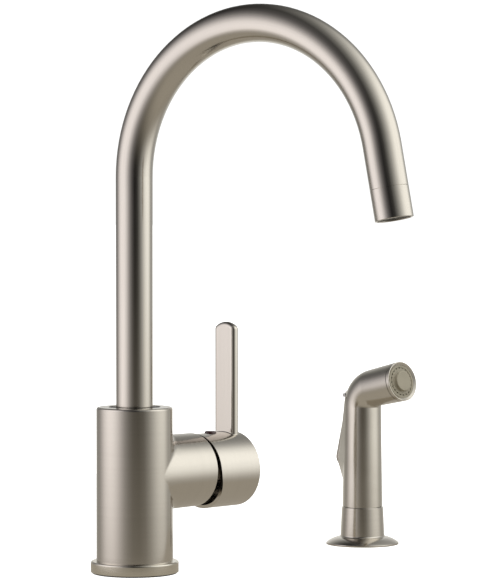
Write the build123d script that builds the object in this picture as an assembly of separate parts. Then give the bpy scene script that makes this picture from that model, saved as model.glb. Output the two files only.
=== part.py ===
from build123d import *
import math
import os

# A single-handle kitchen faucet with a high arched spout and a separate side spray.
# Millimetres.  The origin lies on the deck under the faucet's upright axis.
# +Z is up, +X points along the handle barrel towards the side spray, and -Y points at the user.
os.makedirs("parts", exist_ok=True)

# ---------------------------------------------------------------- driving dimensions
# Clearances between pieces
running_gap = 0.05          # a shaft in its bore, on the radius
seat_gap = 0.3              # two moving bodies that come close without touching
loose_gap = 0.4             # a part with play round it, on the radius
slip_gap = 0.1              # a part that lies loose in its pocket
seal_squeeze = 0.02         # how far a seal stands out over its seat
overcut = 1.0               # how far a cut runs past the face that it opens
same_place = 0.01           # how near two points lie that count as one

# Deck and what clamps the faucet to it
deck_thickness = 20.0
shank_radius = 16.0
shank_bore = 13.6
shank_below_deck = 52.0
shank_thread_depth = 12.0
tower_wall = 1.5            # the waterway's wall round the shank's thread
deck_gasket_thickness = 0.8
deck_gasket_inset = 1.0
rubber_washer_radius = 26.0
rubber_washer_thickness = 3.0
steel_washer_radius = 27.0
steel_washer_thickness = 2.0
nut_across_flats = 46.0
nut_height = 12.0

# The cartridge's size sets the width of the barrel, the body, the base ring and the handle cap round it
cartridge_radius = 17.4
cartridge_gap = 0.2         # the cartridge in its socket, on the radius
socket_wall = 1.6
barrel_wall = 2.95
barrel_draft = 0.4          # how much wider the barrel is at the body's axis than at its end
body_over_barrel = 0.55
ring_over_body = 3.4
cap_over_barrel = 0.6

# Base ring and body
ring_top = 7.2
ring_edge = 1.1
spigot_height = 1.8
body_top = 99.0
body_wall = 2.8
body_top_wall = 3.5
body_edge = 1.4

# Handle barrel, which leaves the body along +X
barrel_height = 58.4
barrel_end = 48.5
barrel_blend = 5.0
mouth_round = 0.4

# Brass waterway inside the body
foot_height = 4.0
seat_x = 18.0
socket_setback = 0.5
hose_port_radius = 4.5
hose_port_depth = 12.0
hose_port_circle = 8.2
passage_radius = 3.0
spray_passage_radius = 2.6
riser_radius = 5.0
diverter_radius = 7.0
diverter_floor = 72.0
diverter_height = 8.0
diverter_bore = 2.0

# Ceramic disc cartridge, from the seat outwards along the barrel
port_side = 7.1
port_up = 8.0
base_height = 6.0
seal_radius = 4.4
seal_height = 1.2
disc_rim = 4.4              # the base's wall round the lower disc
disc_thickness = 3.5
disc_port_radius = 2.7
disc_above_base = 1.0
disc_overlap = 3.4          # how far the lower disc stands out round the upper one
disc_pocket_rim = 3.0
carrier_height = 4.0
carrier_floor = 0.5
housing_height = 16.0
housing_wall = 2.8
housing_roof = 4.0
neck_radius = 12.0
neck_height = 7.5
rotor_radius = 10.0
rotor_flange_height = 2.7
rotor_setback = 0.5
slot_half_length = 6.5
pivot_x = 42.5
pivot_pin_radius = 1.5
pivot_pin_inset = 1.0
stem_square = 7.0
stem_ball = 2.5
stem_neck_radius = 1.75
stem_neck_length = 0.9
stem_ball_x = 31.9
stem_end = 76.0
bonnet_nut_height = 8.0
nut_notch_width = 3.2
nut_notch_depth = 2.0
dome_clearance = 1.2
dome_wall = 1.6
dome_mouth = 10.0
dome_flange = 0.8

# Handle: a round cap and a flat lever blade, one casting
cap_wall = 2.0
cap_drop = 1.45
cap_end = 84.8
cap_end_wall = 3.5
cap_edge = 0.8
rim_gap = 2.6
rim_relief = 5.6
rim_bend = 1.5              # the bend's radius, as a share of the cap's
stem_end_room = 0.5
boss_radius = 8.0
boss_start = 60.8
lever_inner_face = 75.5
lever_thickness = 5.5
lever_width = 17.0
lever_top = 147.3
lever_root = 0.6            # where the blade starts inside the cap, as a share of the cap's radius
lever_crown = 3.2
lever_corner = 3.0
lever_edge = 2.4
lever_foot_blend = 0.6
screw_x = 64.0
screw_radius = 2.0
screw_boss_radius = 4.2
screw_length = 4.4
screw_key = 2.0
screw_socket_depth = 2.0
button_radius = 3.6
button_stem_radius = 2.6
button_stem_length = 1.6
button_gap = 0.15
button_sink = 0.05
button_height = 1.15
button_edge = 1.2

# Spout
tube_radius = 11.0
tube_wall = 1.4
spout_swing = 8.5           # degrees from -Y towards +X, as the spout stands at rest
straight_top = 235.7
arch_radius = 88.5
arch_sweep = 168.7
spout_drop = 42.2
tip_length = 18.0
tip_seam = 0.25
tip_neck = 5.0
tip_neck_wall = 1.4
tip_wall = 1.3
tip_round = 0.45
aerator_depth = 3.0
aerator_washer_height = 1.5
aerator_screen_height = 0.8
aerator_setback = 1.2
aerator_washer_width = 3.0
screen_hole_radius = 1.2
screen_hole_count = 6
insert_wall = 1.5
insert_grid_height = 4.0
insert_rib = 1.0
insert_rings = (0.3, 0.62)  # shares of the insert's radius
hub_radius = 14.0
hub_foot = 4.0
hub_height = 12.9
hub_bore = 9.0
groove_depth = 1.6
groove_height = 2.2
groove_levels = (1.8, 5.6)
spout_seal_round = 0.7
clip_groove_level = 9.2
clip_thickness = 1.2
clip_reach = 1.05
clip_mouth = 50.0           # degrees
clip_lift = 0.8             # how far the clip stays off the floor of the seals' grooves
clip_groove_lift = 0.5      # how much shallower its own groove is
glide_radius = 15.4
glide_recess = 0.3

# Side spray: holder on the deck
spray_x = 203.2
holder_radius = 23.3
holder_rim = 1.0
flare_top = 4.9
flare_swell = 0.7           # how far the flare's top rises over a straight cone
collar_base_radius = 14.2
collar_top_radius = 13.3
collar_top = 24.0
flare_foot_blend = 1.0
collar_round = 0.4
holder_edge = 0.45
cup_radius = 12.3
cup_floor = 8.3
holder_ledge = 6.0
holder_gasket_thickness = 0.8
holder_gasket_inset = 1.9
holder_shank_radius = 13.0
holder_shank_bore = 10.9
holder_shank_below = 45.0
holder_washer_radius = 21.0
holder_washer_thickness = 2.0
holder_nut_flats = 34.0
holder_nut_height = 8.0

# Side spray: hose coupling inside the holder
coupling_radius = 9.5
coupling_bottom = -8.0
coupling_top = 7.7
coupling_thread = 6.4
coupling_thread_depth = 12.0
coupling_stem_radius = 6.0
coupling_stem_top = 21.0
coupling_bore = 3.5
coupling_ring_level = 12.0
coupling_groove_height = 2.0
coupling_seal_depth = 1.2
coupling_seal_round = 0.5
coupling_clip_level = 17.5
coupling_clip_depth = 1.0
coupling_clip_proud = 0.9
coupling_clip_mouth = 70.0  # degrees

# Side spray: wand
wand_turn = -2.5            # degrees about +Z at rest, from a nozzle that points at -Y
spigot_radius = 11.9
wand_seam = 24.6
wand_low_radius = 12.85
wand_high_radius = 12.0
wand_corner = 98.8
elbow_radius = 13.0
nozzle_rise = 12.3
nozzle_radius = 12.65
nozzle_reach = 36.3
nozzle_ring_length = 2.55
nozzle_seam = 0.2
nozzle_neck_radius = 10.7
ring_lip = 0.5
ring_round = 0.35
nozzle_neck_length = 0.6
nozzle_chamber_radius = 9.6
nozzle_chamber_depth = 3.2
water_bore = 3.2
nozzle_bore = 5.0
face_recess = 0.9
face_seal_height = 0.3
face_centre_radius = 6.3
face_centre_height = 2.3
face_centre_round = 0.5
face_foot = 0.4             # the small slope round the raised centre's foot
face_border = 1.3
face_groove_width = 0.7
face_groove_depth = 0.3
face_hole_circle = 8.7
face_hole_radius = 0.5
face_hole_count = 20

# Side spray: trigger on the wand's back, in its side view (distance behind the axis, height)
trigger_high = (11.7, 96.5)
trigger_low = (22.2, 54.0)
trigger_tail = (13.6, 42.0)
trigger_thickness = 5.2
tail_thickness = 4.4
trigger_half_width = 4.5
trigger_round = 6.0
trigger_travel = 4.5        # degrees
trigger_pin_radius = 1.25
trigger_pin_half = 8.0
trigger_edge = 3.8
fin_rim_depth = 6.0
fin_edge = 1.0
fin_wall = 1.2
fin_sink = 0.02             # how deep the flanks' inner edges lie in the grip
fin_foot_depth = 1.5
fin_below_tail = 2.0
valve_level = 62.0
valve_chamber_radius = 4.6
valve_chamber_front = 8.5
valve_chamber_back = 4.0
plunger_radius = 1.5
poppet_radius = 3.6
poppet_thickness = 1.6
poppet_seal_thickness = 0.8
spring_wire = 0.25
spring_coil_radius = 2.6
spring_turns = 4
spring_slack = 3.1

nodes = {}


# ---------------------------------------------------------------- small helpers
def turned(profile, place=Location()):
    """A solid turned about the local Z axis from (radius, height) corners."""
    face = make_face(Polyline(*[(radius, 0, height) for radius, height in profile], close=True))
    return place * revolve(face, Axis.Z)


def ring(outer, inner, low, high, place=Location()):
    """A plain ring between two heights."""
    return turned([(inner, low), (outer, low), (outer, high), (inner, high)], place)


def rod(radius, low, high, place=Location()):
    """A plain round rod between two heights."""
    return turned([(0, low), (radius, low), (radius, high), (0, high)], place)


def edges_on_circle(shape, radius, height, axis=Axis.Z):
    """The round edges of one radius that lie at one height along an axis."""
    found = []
    for edge in shape.edges().filter_by(GeomType.CIRCLE):
        middle = edge.arc_center
        level = middle.dot(Vector(*axis.direction))
        if abs(edge.radius - radius) < same_place and abs(level - height) < same_place:
            found.append(edge)
    return found


def hex_nut(across_flats, bore, low, high, place=Location()):
    """A hexagon nut with its corners chamfered by a cone."""
    body = Pos(0, 0, low) * extrude(RegularPolygon(across_flats / 2, 6, major_radius=False), high - low)
    corner = across_flats / math.sqrt(3)
    bevel = (corner - across_flats / 2) / 2
    barrel = turned([(0, low), (corner - bevel, low), (corner, low + bevel), (corner, high - bevel),
                     (corner - bevel, high), (0, high)])
    return place * ((body & barrel) - rod(bore, low - overcut, high + overcut))


def split_ring(outer, inner, low, high, mouth, place=Location()):
    """A spring clip: a ring with an open mouth."""
    whole = ring(outer, inner, low, high)
    half = math.radians(mouth / 2)
    reach = outer * 2
    far = reach * math.cos(half)
    side = reach * math.sin(half)
    start = low - overcut
    wedge = make_face(Polyline((0, 0, start), (far, side, start), (far, -side, start), close=True))
    return place * (whole - extrude(wedge, high + overcut - start, dir=(0, 0, 1)))


def side_profile(points, half_width):
    """A plate cut to (Y, Z) corners and spread to both sides of X = 0."""
    face = make_face(Polyline(*[(0, y, z) for y, z in points], close=True))
    return extrude(face, half_width, dir=(1, 0, 0), both=True)


def write(name, shape):
    """Keep one node, and write its STEP file."""
    nodes[name] = shape
    export_step(shape, f"parts/{name}.step")


# Local frames.  In side_frame the local Z axis runs along the barrel, and local -X is up.
side_frame = Location((0, 0, barrel_height), (0, 90, 0))
cap_frame = Location((0, 0, barrel_height - cap_drop), (0, 90, 0))
spray_frame = Location((spray_x, 0, 0))
wand_frame = Location((spray_x, 0, 0), (0, 0, wand_turn))


# Widths that follow from the cartridge
socket_bore = cartridge_radius + cartridge_gap
barrel_bore = socket_bore + socket_wall + slip_gap
barrel_radius = barrel_bore + barrel_wall
body_radius = barrel_radius + body_over_barrel
ring_radius = body_radius + ring_over_body
cap_radius = barrel_radius + cap_over_barrel
tower_radius = shank_radius + tower_wall
tower_top = body_top - body_top_wall - seat_gap


# ---------------------------------------------------------------- fixed body
def base_gasket():
    return ring(ring_radius - deck_gasket_inset, shank_radius + loose_gap, 0, deck_gasket_thickness)


def base_ring():
    """A trim ring with a spigot that centres the body shell."""
    inner = shank_radius + loose_gap
    spigot = body_radius - body_wall - running_gap
    low = deck_gasket_thickness
    shape = turned([(inner, low), (ring_radius, low), (ring_radius, ring_top), (spigot, ring_top),
                    (spigot, ring_top + spigot_height), (inner, ring_top + spigot_height)])
    return fillet(edges_on_circle(shape, ring_radius, ring_top), ring_edge)


def body_shell():
    """The upright body and its side barrel, one thin casting, blended where they meet."""
    upright = rod(body_radius, ring_top, body_top)
    barrel = turned([(0, 0), (barrel_radius + barrel_draft, 0), (barrel_radius, barrel_end), (0, barrel_end)],
                    side_frame)
    shape = upright + barrel
    shape = fillet(edges_on_circle(shape, body_radius, body_top), body_edge)
    junction = [edge for edge in shape.edges() if edge.geom_type not in (GeomType.CIRCLE, GeomType.LINE)]
    shape = fillet(junction, barrel_blend)
    mouth = edges_on_circle(shape, barrel_radius, barrel_end, Axis.X)
    shape = fillet(mouth, mouth_round)
    cavity = rod(body_radius - body_wall, ring_top - overcut, body_top - body_top_wall)
    bore = rod(barrel_bore, 0, barrel_end + overcut, side_frame)
    hole = rod(glide_radius + running_gap, body_top - body_top_wall - overcut, body_top + overcut)
    return shape - cavity - bore - hole


socket_end = barrel_end - socket_setback
valve_floor = ring_top + spigot_height
thread_top = valve_floor + shank_thread_depth
hub_low = tower_top - seat_gap - hub_height
hub_chamber = hub_low - seat_gap
outlet_level = barrel_height + port_up
clip_low = hub_low + clip_groove_level + seat_gap
port_spots = [(0, port_side), (0, -port_side), (-port_up, 0)]


def hose_port_places():
    """Hot, cold and spray hose ports, spread on one circle under the waterway."""
    return [(hose_port_circle * math.cos(math.radians(a)), hose_port_circle * math.sin(math.radians(a)))
            for a in (120, 240, 0)]


def valve_body():
    """The brass waterway: hose ports below, cartridge socket at the side, spout bearing on top."""
    shape = rod(tower_radius, valve_floor, tower_top)
    shape += rod(body_radius - body_wall - 2 * slip_gap, valve_floor, valve_floor + foot_height)
    shape += rod(socket_bore + socket_wall, 0, socket_end, side_frame)
    shape -= rod(shank_radius, valve_floor - overcut, thread_top)
    shape -= rod(socket_bore, seat_x, socket_end + overcut, side_frame)
    hot, cold, spray = hose_port_places()
    port_top = thread_top + hose_port_depth
    for x, y in (hot, cold, spray):
        shape -= rod(hose_port_radius, thread_top - overcut, port_top, Pos(x, y, 0))
    for x, y in (hot, cold):
        shape -= rod(passage_radius, port_top - overcut, barrel_height, Pos(x, y, 0))
        level = side_frame * Pos(0, y, 0)
        shape -= rod(passage_radius, x - passage_radius, seat_x + overcut, level)
    shape -= rod(spray_passage_radius, port_top - overcut, outlet_level, Pos(spray[0], spray[1], 0))
    shape -= rod(passage_radius, 0, seat_x + overcut, side_frame * Pos(-port_up, 0, 0))
    shape -= rod(riser_radius, outlet_level, hub_chamber + overcut)
    shape -= rod(diverter_radius, diverter_floor, hub_chamber + overcut)
    shape -= rod(hub_radius + running_gap, hub_chamber, tower_top + overcut)
    shape -= ring(hub_radius + running_gap + clip_reach, hub_radius - overcut, clip_low - slip_gap,
                  clip_low + clip_thickness + slip_gap)
    return shape


def diverter():
    """The spool that turns the flow from the spout to the side spray."""
    radius = diverter_radius - slip_gap
    waist = radius / 2
    low = diverter_floor
    high = diverter_floor + diverter_height
    step = diverter_height / 4
    return turned([(diverter_bore, low), (radius, low), (radius, low + step), (waist, low + step),
                   (waist, high - step), (radius, high - step), (radius, high), (diverter_bore, high)])


def mounting_shank():
    return ring(shank_radius - running_gap, shank_bore, -shank_below_deck, thread_top)


def deck_washers():
    """The rubber washer and the steel washer under the deck, with the nut that draws them up."""
    rubber_low = -deck_thickness - rubber_washer_thickness
    steel_low = rubber_low - steel_washer_thickness
    inner = shank_radius + loose_gap
    write("rubber_washer", ring(rubber_washer_radius, inner, rubber_low, -deck_thickness))
    write("steel_washer", ring(steel_washer_radius, inner, steel_low, rubber_low))
    write("mounting_nut", hex_nut(nut_across_flats, shank_radius, steel_low - nut_height, steel_low))


def glide_ring():
    """The plastic ring that fills the gap between the body's top and the turning spout."""
    return ring(glide_radius, tube_radius + slip_gap, tower_top, body_top - glide_recess)


def spout_clip():
    inner = hub_radius - groove_depth + clip_lift
    outer = hub_radius + running_gap + clip_reach - slip_gap
    return split_ring(outer, inner, clip_low, clip_low + clip_thickness, clip_mouth)


# ---------------------------------------------------------------- spout
swing = math.radians(spout_swing)
spout_plane = Plane(origin=(0, 0, 0), x_dir=(math.sin(swing), -math.cos(swing), 0),
                    z_dir=(-math.cos(swing), -math.sin(swing), 0))
tube_low = hub_low + hub_foot
sweep_angle = math.radians(arch_sweep)
arch_end = (arch_radius - arch_radius * math.cos(sweep_angle),
            straight_top + arch_radius * math.sin(sweep_angle))
drop_way = (math.sin(sweep_angle), math.cos(sweep_angle))
tube_end = (arch_end[0] + drop_way[0] * (spout_drop - tip_length),
            arch_end[1] + drop_way[1] * (spout_drop - tip_length))
tip_origin = spout_plane.from_local_coords(Vector(*tube_end))
tip_ahead = spout_plane.from_local_coords(Vector(tube_end[0] + drop_way[0], tube_end[1] + drop_way[1]))
tip_frame = Plane(origin=tip_origin, z_dir=tip_ahead - tip_origin).location
tip_bore = tube_radius - tip_wall


def spout_hub():
    """The brass sleeve brazed to the spout's foot, grooved for its seals and its clip."""
    low = hub_low
    high = hub_low + hub_height
    shape = turned([(hub_bore, low), (hub_radius, low), (hub_radius, high), (tube_radius, high),
                    (tube_radius, tube_low), (hub_bore, tube_low)])
    floor = hub_radius - groove_depth
    for level in groove_levels:
        shape -= ring(hub_radius + overcut, floor, low + level, low + level + groove_height)
    clip_floor = hub_radius - groove_depth + clip_groove_lift
    clip_level = low + clip_groove_level
    clip_roof = clip_level + clip_thickness + 2 * seat_gap
    return shape - ring(hub_radius + overcut, clip_floor, clip_level, clip_roof)


def spout_seals():
    """Two rubber seals in the hub's grooves."""
    seals = []
    for level in groove_levels:
        low = hub_low + level + slip_gap
        high = low + groove_height - 2 * slip_gap
        radius = hub_radius + seal_squeeze
        seal = ring(radius, hub_radius - groove_depth, low, high)
        outer = edges_on_circle(seal, radius, low) + edges_on_circle(seal, radius, high)
        seals.append(fillet(outer, spout_seal_round))
    return Compound(children=seals)


def spout_tube():
    """One tube: a straight riser, the round arch and the short straight drop to the outlet."""
    riser = Line((0, tube_low), (0, straight_top))
    arch = CenterArc((arch_radius, straight_top), arch_radius, 180, -arch_sweep)
    drop = Line(arch_end, tube_end)
    path = spout_plane * Wire([riser.edge(), arch.edge(), drop.edge()])
    section = Circle(tube_radius) - Circle(tube_radius - tube_wall)
    return sweep(Pos(0, 0, tube_low) * section, path=path)


def spout_tip():
    """The outlet sleeve, screwed into the tube's end."""
    neck = tube_radius - tube_wall - running_gap
    throat = neck - tip_neck_wall
    shape = turned([(throat, -tip_neck), (neck, -tip_neck), (neck, tip_seam), (tube_radius, tip_seam),
                    (tube_radius, tip_length), (tip_bore, tip_length), (tip_bore, aerator_depth),
                    (throat, aerator_depth)])
    rims = edges_on_circle(shape, tube_radius, tip_length) + edges_on_circle(shape, tip_bore, tip_length)
    return tip_frame * fillet(rims, tip_round)


def aerator():
    """Washer, screen and honeycomb insert inside the outlet sleeve."""
    radius = tip_bore - slip_gap
    screen_low = aerator_depth + aerator_washer_height
    insert_low = screen_low + aerator_screen_height
    insert_high = tip_length - aerator_setback
    write("aerator_washer", ring(radius, radius - aerator_washer_width, aerator_depth, screen_low, tip_frame))
    screen = rod(radius, screen_low, insert_low)
    for spot in PolarLocations(radius / 2, screen_hole_count):
        screen -= spot * rod(screen_hole_radius, screen_low - overcut, insert_low + overcut)
    write("aerator_screen", tip_frame * screen)
    insert = ring(radius, radius - insert_wall, insert_low, insert_high)
    grid_low = insert_high - insert_grid_height
    half = insert_rib / 2
    for share in insert_rings:
        insert += ring(radius * share + half, radius * share - half, grid_low, insert_high)
    spoke = Box(2 * radius - insert_wall, insert_rib, insert_high - grid_low)
    for turn in (0, 60, 120):
        insert += Rot(0, 0, turn) * Pos(0, 0, (grid_low + insert_high) / 2) * spoke
    write("aerator_insert", tip_frame * insert)


# ---------------------------------------------------------------- cartridge and handle
base_top = seat_x + base_height
disc_low = base_top + disc_above_base - disc_thickness
disc_radius = cartridge_radius - disc_rim
upper_disc_radius = disc_radius - disc_overlap
housing_bore = cartridge_radius - housing_wall
rotor_flange = housing_bore - loose_gap
lower_disc_top = base_top + disc_above_base
upper_disc_low = lower_disc_top + running_gap
carrier_low = upper_disc_low + disc_thickness
carrier_top = carrier_low + carrier_height
housing_top = base_top + housing_height
roof_low = housing_top - housing_roof
neck_top = housing_top + neck_height
cap_axis = barrel_height - cap_drop
cap_bore = cap_radius - cap_wall
dome_radius = cap_bore - cap_drop - dome_clearance
rotor_low = roof_low - seat_gap - rotor_flange_height
rotor_top = neck_top - rotor_setback
slot_half_width = stem_square / 2 + seat_gap
pivot_place = Location((pivot_x, 0, barrel_height), (90, 0, 0))


def cartridge_base():
    shape = rod(cartridge_radius, seat_x, base_top, side_frame)
    shape -= rod(disc_radius + slip_gap, disc_low, base_top + overcut, side_frame)
    for x, y in port_spots:
        spot = side_frame * Pos(x, y, 0)
        shape -= rod(passage_radius, seat_x - overcut, base_top + overcut, spot)
        shape -= rod(seal_radius + slip_gap, seat_x - overcut, seat_x + seal_height, spot)
    return shape


def cartridge_seals():
    return Compound(children=[ring(seal_radius, passage_radius, seat_x, seat_x + seal_height,
                                   side_frame * Pos(x, y, 0)) for x, y in port_spots])


def lower_disc():
    shape = rod(disc_radius, disc_low, lower_disc_top, side_frame)
    for x, y in port_spots:
        spot = side_frame * Pos(x, y, 0)
        shape -= rod(disc_port_radius, disc_low - overcut, lower_disc_top + overcut, spot)
    return shape


def upper_disc():
    """The sliding ceramic disc, with the mixing pocket in its lower face."""
    shape = rod(upper_disc_radius, upper_disc_low, carrier_low, side_frame)
    pocket_top = upper_disc_low + disc_thickness / 2
    return shape - rod(upper_disc_radius - disc_pocket_rim, upper_disc_low - overcut, pocket_top, side_frame)


def disc_carrier():
    shape = rod(upper_disc_radius, carrier_low, carrier_top, side_frame)
    return shape - rod(stem_ball + seat_gap, carrier_low + carrier_floor, carrier_top + overcut, side_frame)


def cartridge_housing():
    shape = rod(cartridge_radius, base_top, housing_top, side_frame)
    shape += rod(neck_radius, housing_top, neck_top, side_frame)
    shape -= rod(housing_bore, base_top - overcut, roof_low, side_frame)
    return shape - rod(rotor_radius + running_gap, roof_low - overcut, neck_top + overcut, side_frame)


def stem_rotor():
    """The collar that turns with the handle about the barrel's axis, slotted for the stem's tilt."""
    shape = rod(rotor_radius, rotor_low, rotor_top, side_frame)
    shape += rod(rotor_flange, rotor_low, rotor_low + rotor_flange_height, side_frame)
    middle = (rotor_low + rotor_top) / 2
    shape -= side_frame * Pos(0, 0, middle) * Box(2 * slot_half_length, 2 * slot_half_width, rotor_top)
    return shape - pivot_place * Cylinder(pivot_pin_radius, 4 * rotor_radius)


def pivot_pin():
    return pivot_place * Cylinder(pivot_pin_radius, 2 * (rotor_radius - pivot_pin_inset))


def handle_stem():
    """The square stem: a ball in the disc carrier, the pivot hole, and the end that the handle fits."""
    bar_start = stem_ball_x + stem_ball + stem_neck_length
    bar = Box(stem_square, stem_square, stem_end - bar_start)
    shape = side_frame * Pos(0, 0, (bar_start + stem_end) / 2) * bar
    shape += rod(stem_neck_radius, stem_ball_x, bar_start + overcut, side_frame)
    shape += side_frame * Pos(0, 0, stem_ball_x) * Sphere(stem_ball)
    return shape - pivot_place * Cylinder(pivot_pin_radius + running_gap, 2 * stem_square)


def bonnet_nut():
    """The ring nut that holds the cartridge down, with four wrench notches."""
    high = housing_top + bonnet_nut_height
    shape = ring(socket_bore - slip_gap, neck_radius + 2 * slip_gap, housing_top, high, side_frame)
    notch = Box(socket_bore - neck_radius + 2 * overcut, nut_notch_width, 2 * nut_notch_depth)
    for spot in PolarLocations((socket_bore + neck_radius) / 2, 4, start_angle=45):
        shape -= side_frame * spot * Pos(0, 0, high) * notch
    return shape


def bonnet_dome():
    """The dark dome under the cap.  It is part of a ball about the handle's pivot, so the cap clears it."""
    low = socket_end
    high = socket_end + dome_flange
    flange = barrel_bore - slip_gap
    ball = side_frame * Pos(0, 0, pivot_x) * Sphere(dome_radius)
    hollow = side_frame * Pos(0, 0, pivot_x) * Sphere(dome_radius - dome_wall)
    band = rod(flange, low, pivot_x + dome_radius + overcut, side_frame)
    shape = (ball & band) + rod(flange, low, high, side_frame)
    return shape - hollow - rod(dome_mouth, low - overcut, pivot_x + dome_radius + overcut, side_frame)


cap_rim = barrel_end + rim_gap
cap_floor = cap_end - cap_end_wall
cap_crest = cap_axis + cap_radius
button_hole = button_radius + button_gap
button_seat = cap_axis + math.sqrt(cap_radius ** 2 - button_hole ** 2) - button_sink


def lever_blade():
    """The flat upright blade, crowned at its top and rounded on every edge."""
    low = cap_axis + cap_radius * lever_root
    half = lever_width / 2
    shoulder = lever_top - lever_crown
    sides = Polyline((-half, shoulder), (-half, low), (half, low), (half, shoulder))
    outline = make_face(sides + ThreePointArc((half, shoulder), (0, lever_top), (-half, shoulder)))
    outline = fillet(outline.vertices().group_by(Axis.Y)[-1], lever_corner)
    blade = extrude(Plane.YZ * outline, lever_thickness)
    edges = blade.edges().filter_by(lambda edge: edge.center().Z > low + same_place)
    faces_x = [edge for edge in edges if abs(edge.tangent_at(0.5).X) < 0.5]
    return Pos(lever_inner_face, 0, 0) * fillet(faces_x, lever_edge)


def handle():
    """Cap and lever in one casting.  The rim leans back below, so that the cap tilts clear of the barrel."""
    cap = rod(cap_radius, barrel_end, cap_end, cap_frame)
    cap = fillet(edges_on_circle(cap, cap_radius, cap_end, Axis.X), cap_edge)
    shape = cap + lever_blade()
    foot = [edge for edge in shape.edges() if abs(edge.center().X - lever_inner_face) < same_place
            and abs(edge.center().Z - cap_crest) < lever_foot_blend]
    shape = fillet(foot, lever_foot_blend)
    shape -= rod(cap_bore, barrel_end - overcut, cap_floor, cap_frame)
    shape += rod(boss_radius, boss_start, cap_floor + overcut, side_frame)
    column_top = cap_axis + cap_bore + cap_wall / 2
    shape += rod(screw_boss_radius, barrel_height, column_top, Pos(screw_x, 0, 0))
    reach = 2 * cap_radius
    behind = barrel_end - overcut
    bottom = cap_axis - reach
    top = cap_axis + reach
    relief = make_face(Polyline((behind, bottom), (cap_rim + 2 * rim_relief, bottom), (cap_rim, cap_axis),
                                (cap_rim, top), (behind, top), close=True))
    bend = relief.vertices().sort_by_distance((cap_rim, cap_axis, 0))[0]
    relief = fillet(bend, rim_bend * cap_radius)
    shape -= extrude(Plane.XZ * relief, reach, both=True)
    socket_top = stem_end + stem_end_room
    socket_middle = (boss_start - overcut + socket_top) / 2
    play = stem_square + 2 * running_gap
    shape -= side_frame * Pos(0, 0, socket_middle) * Box(play, play, socket_top - boss_start + overcut)
    screw_place = Pos(screw_x, 0, 0)
    stem_floor = button_seat - button_stem_length - slip_gap
    shape -= rod(screw_radius + running_gap, barrel_height, cap_crest + overcut, screw_place)
    shape -= rod(button_stem_radius + running_gap, stem_floor, cap_crest + overcut, screw_place)
    return shape - rod(button_hole, button_seat, lever_top, screw_place)


def set_screw():
    """The headless screw that locks the handle on its stem, with a hexagon socket."""
    low = barrel_height + stem_square / 2
    high = low + screw_length
    shape = rod(screw_radius, low, high)
    hexagon = RegularPolygon(screw_key / 2, 6, major_radius=False)
    socket = Pos(0, 0, high - screw_socket_depth) * extrude(hexagon, screw_socket_depth + overcut)
    return Pos(screw_x, 0, 0) * (shape - socket)


def index_button():
    """The coloured button over the set screw, slightly domed."""
    high = cap_crest + button_height
    shape = rod(button_radius, button_seat, high)
    shape = fillet(edges_on_circle(shape, button_radius, high), button_edge)
    shape += rod(button_stem_radius, button_seat - button_stem_length, button_seat)
    return Pos(screw_x, 0, 0) * shape


# ---------------------------------------------------------------- side spray: on the deck
def spray_holder():
    """The flared holder: flange, collar and the cup that the wand stands in."""
    shank_hole = holder_shank_radius + running_gap
    gasket_edge = holder_radius - holder_gasket_inset + slip_gap
    run = holder_radius - collar_base_radius
    climb = flare_top - holder_rim
    lift = flare_swell / math.hypot(run, climb)
    middle_radius = (holder_radius + collar_base_radius) / 2 + climb * lift
    middle_height = (holder_rim + flare_top) / 2 + run * lift
    flare = ThreePointArc((holder_radius, 0, holder_rim), (middle_radius, 0, middle_height),
                          (collar_base_radius, 0, flare_top))
    corners = [(collar_base_radius, flare_top), (collar_top_radius, collar_top),
               (cup_radius, collar_top), (cup_radius, cup_floor), (holder_shank_bore, cup_floor),
               (holder_shank_bore, holder_ledge), (shank_hole, holder_ledge),
               (shank_hole, holder_gasket_thickness), (gasket_edge, holder_gasket_thickness),
               (gasket_edge, 0), (holder_radius, 0), (holder_radius, holder_rim)]
    rest = Polyline(*[(radius, 0, height) for radius, height in corners])
    shape = revolve(make_face(rest + flare), Axis.Z)
    shape = fillet(edges_on_circle(shape, collar_base_radius, flare_top), flare_foot_blend)
    shape = fillet(edges_on_circle(shape, collar_top_radius, collar_top), collar_round)
    return spray_frame * fillet(edges_on_circle(shape, holder_radius, holder_rim), holder_edge)


def holder_hardware():
    """Gasket, threaded shank, washer and nut that clamp the holder to the deck."""
    write("holder_gasket", ring(holder_radius - holder_gasket_inset, holder_shank_radius + slip_gap, 0,
                                holder_gasket_thickness, spray_frame))
    write("holder_shank", ring(holder_shank_radius, holder_shank_bore, -holder_shank_below, holder_ledge,
                               spray_frame))
    washer_low = -deck_thickness - holder_washer_thickness
    write("holder_washer", ring(holder_washer_radius, holder_shank_radius + loose_gap, washer_low,
                                -deck_thickness, spray_frame))
    write("holder_nut", hex_nut(holder_nut_flats, holder_shank_radius + running_gap,
                                washer_low - holder_nut_height, washer_low, spray_frame))


def hose_coupling():
    """The fitting at the hose's end.  The wand turns on its stem."""
    stem = coupling_stem_radius
    thread_roof = coupling_bottom + coupling_thread_depth
    shape = turned([(coupling_thread, coupling_bottom), (coupling_radius, coupling_bottom),
                    (coupling_radius, coupling_top), (stem, coupling_top), (stem, coupling_stem_top),
                    (coupling_bore, coupling_stem_top), (coupling_bore, thread_roof),
                    (coupling_thread, thread_roof)])
    shape -= ring(stem + overcut, stem - coupling_seal_depth, coupling_ring_level,
                  coupling_ring_level + coupling_groove_height)
    shape -= ring(stem + overcut, stem - coupling_clip_depth, coupling_clip_level,
                  coupling_clip_level + clip_thickness)
    return spray_frame * shape


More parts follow.
